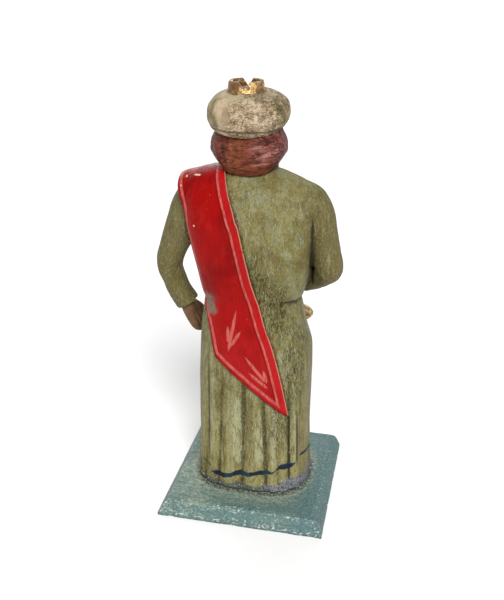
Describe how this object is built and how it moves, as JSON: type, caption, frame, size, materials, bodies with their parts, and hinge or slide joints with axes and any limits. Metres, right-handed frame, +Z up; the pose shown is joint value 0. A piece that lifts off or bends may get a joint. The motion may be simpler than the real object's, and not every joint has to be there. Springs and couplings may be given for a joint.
{
  "type": "nativity wise man figurine",
  "caption": "Carved and painted wooden nativity wise man in a green robe, red sash, turban and low gold crown, on a bevelled square board.",
  "frame": {"origin": "centre of the square board's underside", "axes": "+Z up; the figure faces -Y and its left hand is at +X"},
  "size_m": [0.0965, 0.088, 0.22],
  "materials": {
    "painted_wood": "satin",
    "painted_board": "satin"
  },
  "bodies": {
    "root": {"figure": "painted_wood", "plinth": "painted_board"}
  },
  "joints": []
}
